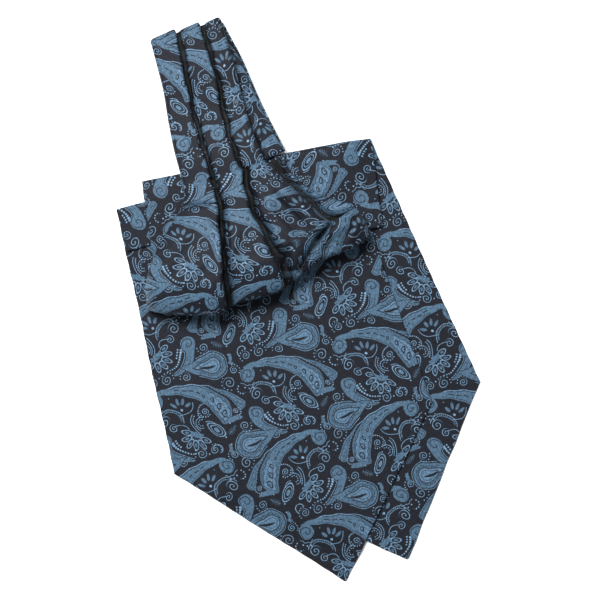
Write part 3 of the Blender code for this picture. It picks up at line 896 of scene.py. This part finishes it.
def neck_fan(x, y, weave):
    """Small petals and an arc in the hollow under the paisley's neck, and beads under its body."""
    r, a = polar(x, y, 6.9, 20.8, 76)
    near = inside(mag(a) - 68)
    weave.lay(FILL, inside(petals(r, a, 34.0, 5.2, 2.1, 0.85)) * near)
    weave.fill(LINE, r - 0.75)
    weave.lay(LINE, inside(beads(r, a, 10.0, 28.0, 0.3)) * near)
    r, a = polar(x, y, 7.8, 24.8, -62)
    weave.lay(LINE, arc(r, a, 6.9, 52))
    r, a = polar(x, y, 43.8, 22.0, 205)
    weave.lay(LINE, bead_arc(r, a, 2.6, 36.0, 0.42, 110))


def scrolls(x, y, weave):
    """Scrolls, a flower, an almond, a sprig and a hook between the larger figures."""
    # A ladder arc over two curls
    r, a = polar(x, y, -1.3, 15.6, 68)
    weave.lay(LINE, arc(r, a, 7.7, 84))
    weave.lay(LINE, arc(r, a, 6.3, 70, 0.13))
    rung = high(mag(part_of(a / 9.0) - 0.5) * 1.1 - 0.14, mag(r - 7.0) - 0.6)
    weave.lay(MID, inside(rung) * inside(mag(a + 20) - 56))
    r, a = polar(x, y, -4.6, 17.2, -40)
    weave.lay(LINE, stroke(spiral(r, a, -1, 1.9), 0.2) * inside(r - 3.4))
    r, a = polar(x, y, -0.6, 11.9, -20)
    weave.lay(LINE, stroke(spiral(r, a, -1, 1.5), 0.18) * inside(r - 2.6))
    r, a = polar(x, y, 2.6, 8.6, 62)
    weave.lay(LINE, arc(r, a, 4.6, 58))
    # A flower: a lobed calyx and outlined petals
    r, a = polar(x, y, 10.2, 4.6, 232)
    near = inside(mag(a) - 102)
    petal = petals(r, a, 34.0, 6.0, 2.9, 1.35)
    weave.lay(LINE, stroke(petal) * near)
    weave.lay(FILL, inside(petal + 0.75) * near)
    weave.fill(FILL, leaf(x, y, 10.4, 4.8, -26, 3.9, 1.7) + sine(a * 0.14) * 0.3)
    # Square beads that shrink along an arc
    r, a = polar(x, y, 8.5, 7.6, 230)
    size = hold(a * -0.011 + 0.5) * 0.45 + 0.3
    weave.fill(LINE, high(beads(r, a, 13.2, 6.4, 0.0) - size, mag(a) - 38))
    weave.fill(LINE, high(beads(r, a, 11.3, 8.0, 0.5), mag(a + 24) - 14))
    # A beaded scroll
    r, a = polar(x, y, 18.4, 11.4, 180)
    weave.lay(LINE, arc(r, a, 8.5, 42))
    weave.lay(LINE, bead_arc(r, a, 7.1, 8.5, 0.33, 42))
    r, a = polar(x, y, 15.6, 10.6, 160)
    weave.lay(LINE, arc(r, a, 3.3, 112))
    weave.lay(LINE, bead_arc(r, a, 1.9, 40.0, 0.32, 110))
    r, a = polar(x, y, 20.6, 15.8, 130)
    weave.lay(LINE, bead_arc(r, a, 5.2, 12.0, 0.36, 76))
    # A nested almond
    d = leaf(x, y, 22.2, 4.4, -50, 5.9, 2.6)
    weave.lay(LINE, stroke(d))
    weave.lay(LINE, stroke(d + 0.85, 0.13))
    weave.fill(MID, d + 1.7)
    r, a = polar(x, y, 19.0, 7.0, 60)
    weave.lay(LINE, arc(r, a, 3.4, 50))
    # A sprig
    x3, y3 = spin(x, y, 30.6, 1.4, 38)
    tick = mag(part_of(x3 / 1.3 + mag(y3) * 0.5) - 0.5) * 1.3 - 0.15
    weave.fill(FILL, high(tick, far(x3 / 3.2, y3 / 1.5) * 2 - 2))
    weave.fill(FILL, high(mag(y3) - 0.14, mag(x3) - 3.4))
    # A hook
    r, a = polar(x, y, 18.6, -6.4, 65)
    weave.lay(LINE, arc(r + a * 0.004, a, 2.6, 112, 0.22))
    # Loose dots
    dots = low(low(far(x - 25.8, y + 1.6), far(x - 13.4, y + 7.6)),
               low(far(x - 30.4, y - 6.0), far(x - 27.0, y + 6.4)))
    weave.fill(LINE, dots - 0.42)


def curl_frill(x, y, weave):
    """A scalloped line and dots beside the paisley's curl."""
    r, a = polar(x, y, -5.6, 29.4, 232)
    weave.lay(LINE, stroke(r - 5.7 - mag(sine(a * 0.11)) * 0.7) * inside(mag(a) - 62))
    weave.lay(LINE, bead_arc(r, a, 8.0, 16.0, 0.45, 52))


def split_leaf(x, y, weave):
    """A curled comma nested on a striped teardrop, their tips together."""
    # The comma
    r, a = polar(x, y, 7.0, 10.0, 222)
    s = share_of(a, 41, -38)
    t = hold(s)
    w = power(t, 0.6) * 3.0
    middle = 18.9 - t * t * 1.5
    d = high(mag(r - middle) - w, s * -40)
    d = high(d, (s - 0.9) * 25)
    head = far(x + 8.9, y - 6.6) - 4.3
    body = low(d, head)
    weave.lay(LINE, stroke(body - 0.75, 0.15) * hold((19.5 - r) * 2) * during(s, 0.0, 0.75))
    weave.fill(FILL, body)
    lanes = mag(part_of((r - 18.9) * 0.62 + 0.5) - 0.5) * 1.6
    weave.lay(GROUND, inside(high(lanes - 0.12, d + 0.5)) * during(s, 0.06, 0.62))
    r, a = polar(x, y, -8.9, 6.6, 120)
    weave.lay(GROUND, inside(spiral(r, a, -1, 2.8) - 0.24) * inside(r - 3.8))
    # The teardrop, narrowing to its tip from a round end
    across, back = spin(x, y, -18.4, -9.6, -84)
    across = mag(across + back * back * 0.006)
    lean = 7.4 / 18.6
    flank = sqrt(1 - lean * lean)
    side = across * flank + back * lean - 7.4
    round_end = far(across, back) - 7.4
    d = side + (round_end - side) * hold((across * lean - back * flank) * 4)
    weave.lay(LINE, stroke(d - 0.8, 0.14) * inside(back - 9))
    weave.fill(GROUND, d - 0.35)
    weave.fill(FILL, d)
    turn = angle_of(across, back * -1.0) * 4.2
    scallop = mag(sine(turn)) * 0.9
    weave.lay(GROUND, stroke(d + 1.1 + scallop, 0.14) * inside(back - 10))
    tick = high(mag(part_of(turn * 0.9) - 0.5) * 1.7 - 0.13, mag(d + 2.0) - 0.6)
    weave.lay(GROUND, inside(tick) * inside(back - 10))
    weave.lay(GROUND, stroke(d + 2.9, 0.24))
    weave.fill(MID, d + 3.3)
    weave.lay(GROUND, stroke(d + 4.4, 0.13))
    weave.fill(GROUND, leaf(x, y, -15.2, -9.8, 6, 4.8, 0.75))
    # A small ornament behind the round end
    behind = low(leaf(x, y, -29.2, -8.4, 96, 2.4, 1.0), leaf(x, y, -28.8, -11.4, 30, 1.6, 0.8))
    weave.fill(FILL, behind)


def woven_tone(u, v):
    """How far the figure shows over the ground at a place on the cloth."""
    u, v = u + sine(v * 0.5 + 1.0) * 0.3, v + sine(u * 0.7) * 0.25
    weave = Weave()
    scrolls(*cell(u, v, 10.0, 8.0), weave)
    small_curls(*cell(u, v, 20.5, 21.0), weave)
    x, y = cell(u, v, 17.0, 21.0)
    curl_frill(x, y, weave)
    neck_fan(x, y, weave)
    split_leaf(*cell(u, v, -13.5, -4.0), weave)
    paisley(x, y, weave)
    return weave.tone


def display(red, green, blue):
    """A screen colour as the shader's own, for any but the darkest."""
    return [((c / 255 + 0.055) / 1.055) ** 2.4 for c in (red, green, blue)] + [1.0]


GROUND_COLOUR = display(20, 22, 30)
FILL_COLOUR = display(63, 87, 107)
MID_COLOUR = display(75, 101, 124)
LINE_COLOUR = display(103, 132, 157)
YARN_CONTRAST, YARN_DARK = 2.4, 0.2
# How far the painted shade, at its fullest, darkens the colour
PAINTED_SHADE_STRENGTH = 0.95
TWILL = 0.42  # the twill's ribs and the yarns across them, from one to the next
YARN = 0.36


def set_inputs(node, values):
    for name, value in values.items():
        node.inputs[name].default_value = value


def silk_material():
    material = bpy.data.materials.new("silk")
    material.use_nodes = True
    tree = material.node_tree
    new, link = tree.nodes.new, tree.links.new
    shader = tree.nodes["Principled BSDF"]
    set_inputs(shader, {"Specular IOR Level": 0.12, "Sheen Weight": 0.03, "Sheen Roughness": 0.4,
                        "Sheen Tint": (0.75, 0.85, 1.0, 1.0)})
    Number.tree = tree
    place = new("ShaderNodeUVMap")
    place.uv_map = "cloth"
    split = new("ShaderNodeSeparateXYZ")
    link(place.outputs[0], split.inputs[0])
    u, v = Number(split.outputs[0]) * 1000.0, Number(split.outputs[1]) * 1000.0
    tone = woven_tone(u, v)
    ramp = new("ShaderNodeValToRGB")
    stops = ramp.color_ramp.elements
    stops[0].color = GROUND_COLOUR
    stops[1].color = LINE_COLOUR
    for place_on, colour in ((FILL, FILL_COLOUR), (MID, MID_COLOUR)):
        stops.new(place_on).color = colour
    link(tone.value, ramp.inputs[0])
    # Uneven yarns: faint streaks along the warp and the weft
    streak = new("ShaderNodeTexNoise")
    set_inputs(streak, {"Scale": 1.0, "Detail": 3.0})
    stretch = new("ShaderNodeCombineXYZ")
    link((u * 1.3).value, stretch.inputs[0])
    link((v * 0.6).value, stretch.inputs[1])
    link(stretch.outputs[0], streak.inputs["Vector"])
    shade = Number(streak.outputs["Fac"]) * YARN_CONTRAST - YARN_DARK
    # Painted shade: little light reaches the bottom of a fold, so the colour is darkened there, and in
    # crease troughs and beside the puff's steep side
    folded = new("ShaderNodeAttribute")
    folded.attribute_name = "painted_shade"
    shade = shade * (Number(folded.outputs["Fac"]) * -PAINTED_SHADE_STRENGTH + 1.0)
    tint = new("ShaderNodeVectorMath")
    tint.operation = "SCALE"
    link(ramp.outputs[0], tint.inputs[0])
    link(shade.value, tint.inputs["Scale"])
    link(tint.outputs[0], shader.inputs["Base Color"])
    # The figure floats smoother than the ground
    link((tone * -0.12 + 0.6).value, shader.inputs["Roughness"])
    # Twill: fine slanting ribs
    rib = sine((u + v) * (2 * pi / TWILL)) * sine(u * (2 * pi / YARN))
    bump = new("ShaderNodeBump")
    set_inputs(bump, {"Strength": 0.42, "Distance": 0.03 * MM})
    link(rib.value, bump.inputs["Height"])
    link(bump.outputs[0], shader.inputs["Normal"])
    return material


def core_grid():
    """The layers hidden in the puff: their top, and the floor under them."""
    across = np.linspace(*CORE_ACROSS, CORE_STEPS[0])
    top, base = [], []
    for along in np.linspace(*CORE_ALONG, CORE_STEPS[1]):
        flat = puff_plan(across, along)
        turn = asin(max(along - PUFF_ROLL, 0.0) / (1 - PUFF_ROLL))
        rolled = PUFF_ROLL + (1 - PUFF_ROLL) * turn / radians(ROLL_ANGLE)
        line = puff_row(along if turn == 0 else rolled)[0]
        away = [norm(line[:, :2] - p, axis=1) for p in flat]
        roof = np.array([line[d <= max(CORE_NEAR, np.sort(d)[3]), 2].min() for d in away]) - CORE_UNDER
        end = sin(pi * (along - CORE_ALONG[0]) / (CORE_ALONG[1] - CORE_ALONG[0]))
        side = np.sin(np.pi * (across - across[0]) / (across[-1] - across[0]))
        rounded = 0.45 + 0.5 * (np.clip(end * side, 0, 1)) ** 0.4
        floor = back_turned_height(flat[:, 0], flat[:, 1]) + HALF + CORE_OVER
        top.append(np.column_stack([flat, floor + np.maximum(roof - floor, CORE_LEAST) * rounded]))
        base.append(np.column_stack([flat, floor]))
    return np.array(top), np.array(base)


def folded_layers(material):
    """The hidden layers as one soft solid whose sides show a rounded edge for each layer."""
    top, base = core_grid()
    index = np.arange(top[..., 0].size).reshape(top.shape[:2])
    ring = np.concatenate([index[0], index[1:-1, -1], index[-1][::-1], index[-2:0:-1, 0]])
    upper, under = top.reshape(-1, 3), base.reshape(-1, 3)
    middle = under.mean(axis=0)
    points = [under, upper]
    floor_faces = grid_faces(index)[:, [0, 3, 2, 1]]
    faces = [floor_faces, floor_faces[:, ::-1] + len(under)]
    steps = 6 * CORE_LAYERS
    rings = [ring]
    total = 2 * len(under)
    for k in range(1, steps):
        share = k / steps
        spot = under[ring] + (upper[ring] - under[ring]) * share
        inward = middle - spot
        inward[:, 2] = 0
        inward /= norm(inward, axis=1, keepdims=True)
        groove = CORE_BULGE * (1 - abs(sin(pi * CORE_LAYERS * share)))
        points.append(spot + inward * groove)
        rings.append(total + np.arange(len(ring)))
        total += len(ring)
    rings.append(ring + len(under))
    for one, two in zip(rings, rings[1:]):
        faces.append(np.stack([np.roll(one, -1), one, two, np.roll(two, -1)], axis=-1))
    points = np.vstack(points)
    cloth = np.column_stack([points[:, :2] + points[:, 2:] * 0.7, 0 * points[:, 2]])
    return add_mesh("folded_layers", points, np.vstack(faces), cloth, material)


def stand_for(piece, node):
    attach(piece, "root")
    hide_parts(node)


def cravat():
    material = silk_material()
    back = cloth_shell("back_blade_cloth", *blade_grid(
        BACK_BLADE, BACK_TURNED_END, back_blade_height, back_turned_height, BACK_FOLD_CLEAR,
        BACK_GRAIN, BACK_CURL_AT), material)
    front = cloth_shell("front_blade_cloth", *blade_grid(
        FRONT_BLADE, FRONT_TURNED_END, front_blade_height, front_turned_height, FRONT_FOLD_CLEAR,
        FRONT_GRAIN, FRONT_CURL_AT), material)
    rows, cloth, (band_start, loop_end) = band_run()
    puff = cloth_shell("puff_cloth", rows[:band_start + 1], cloth[:band_start + 1], material, cut_end=True)
    stretch = slice(band_start, loop_end + 1)
    band = cloth_shell("front_band_cloth", rows[stretch], cloth[stretch], material,
                       cut_start=True, cut_end=True)
    rear = cloth_shell("back_band_cloth", rows[loop_end:], cloth[loop_end:], material, cut_start=True)
    fan_rows, fan_cloth = fan_grid()
    opened = cloth_shell("opened_pleats_cloth", fan_rows, fan_cloth, material)
    layers = folded_layers(material)
    stand_for(back, "blade_back")
    stand_for(front, "blade_front")
    stand_for(puff, "puff_front")
    stand_for(band, "neckband_front")
    stand_for(rear, "neckband_back")
    stand_for(opened, "fan_back")
    stand_for(layers, "folded_core")


def studio():
    """A pale table, a wide soft light above the photo's upper left corner, and pale surroundings."""
    mesh = bpy.data.meshes.new("table")
    sides = ((-1, -1), (1, -1), (1, 1), (-1, 1))
    mesh.from_pydata([(x * TABLE_HALF, y * TABLE_HALF, TABLE_TOP) for x, y in sides], [], [(0, 1, 2, 3)])
    table = add_object("table", mesh)
    material = bpy.data.materials.new("pale_table")
    material.use_nodes = True
    set_inputs(material.node_tree.nodes["Principled BSDF"],
               {"Base Color": (0.93, 0.93, 0.925, 1), "Roughness": 0.9, "Specular IOR Level": 0.1})
    mesh.materials.append(material)

    world = bpy.data.worlds.new("pale_room")
    bpy.context.scene.world = world
    world.use_nodes = True
    set_inputs(world.node_tree.nodes["Background"],
               {"Color": (1.0, 1.0, 1.0, 1), "Strength": ROOM_LIGHT})

    light = bpy.data.lights.new("soft_window", "AREA")
    light.shape = "RECTANGLE"
    light.size, light.size_y = WINDOW_SIZE
    light.energy = WINDOW_POWER
    window = add_object("soft_window", light)
    window.location = WINDOW_AT
    aim = -window.location
    window.rotation_euler = aim.to_track_quat("-Z", "Y").to_euler()


def camera():
    data = bpy.data.cameras.new("camera")
    data.sensor_width = SENSOR
    data.lens = SENSOR * CAMERA_HEIGHT / PHOTO_WIDTH
    data.clip_end = 20.0
    eye = add_object("camera", data)
    eye.location = (PHOTO_MIDDLE[0] * MM, PHOTO_MIDDLE[1] * MM, CAMERA_HEIGHT * MM)
    bpy.context.scene.camera = eye


camera()
studio()
cravat()
bpy.context.scene.view_settings.view_transform = "Standard"
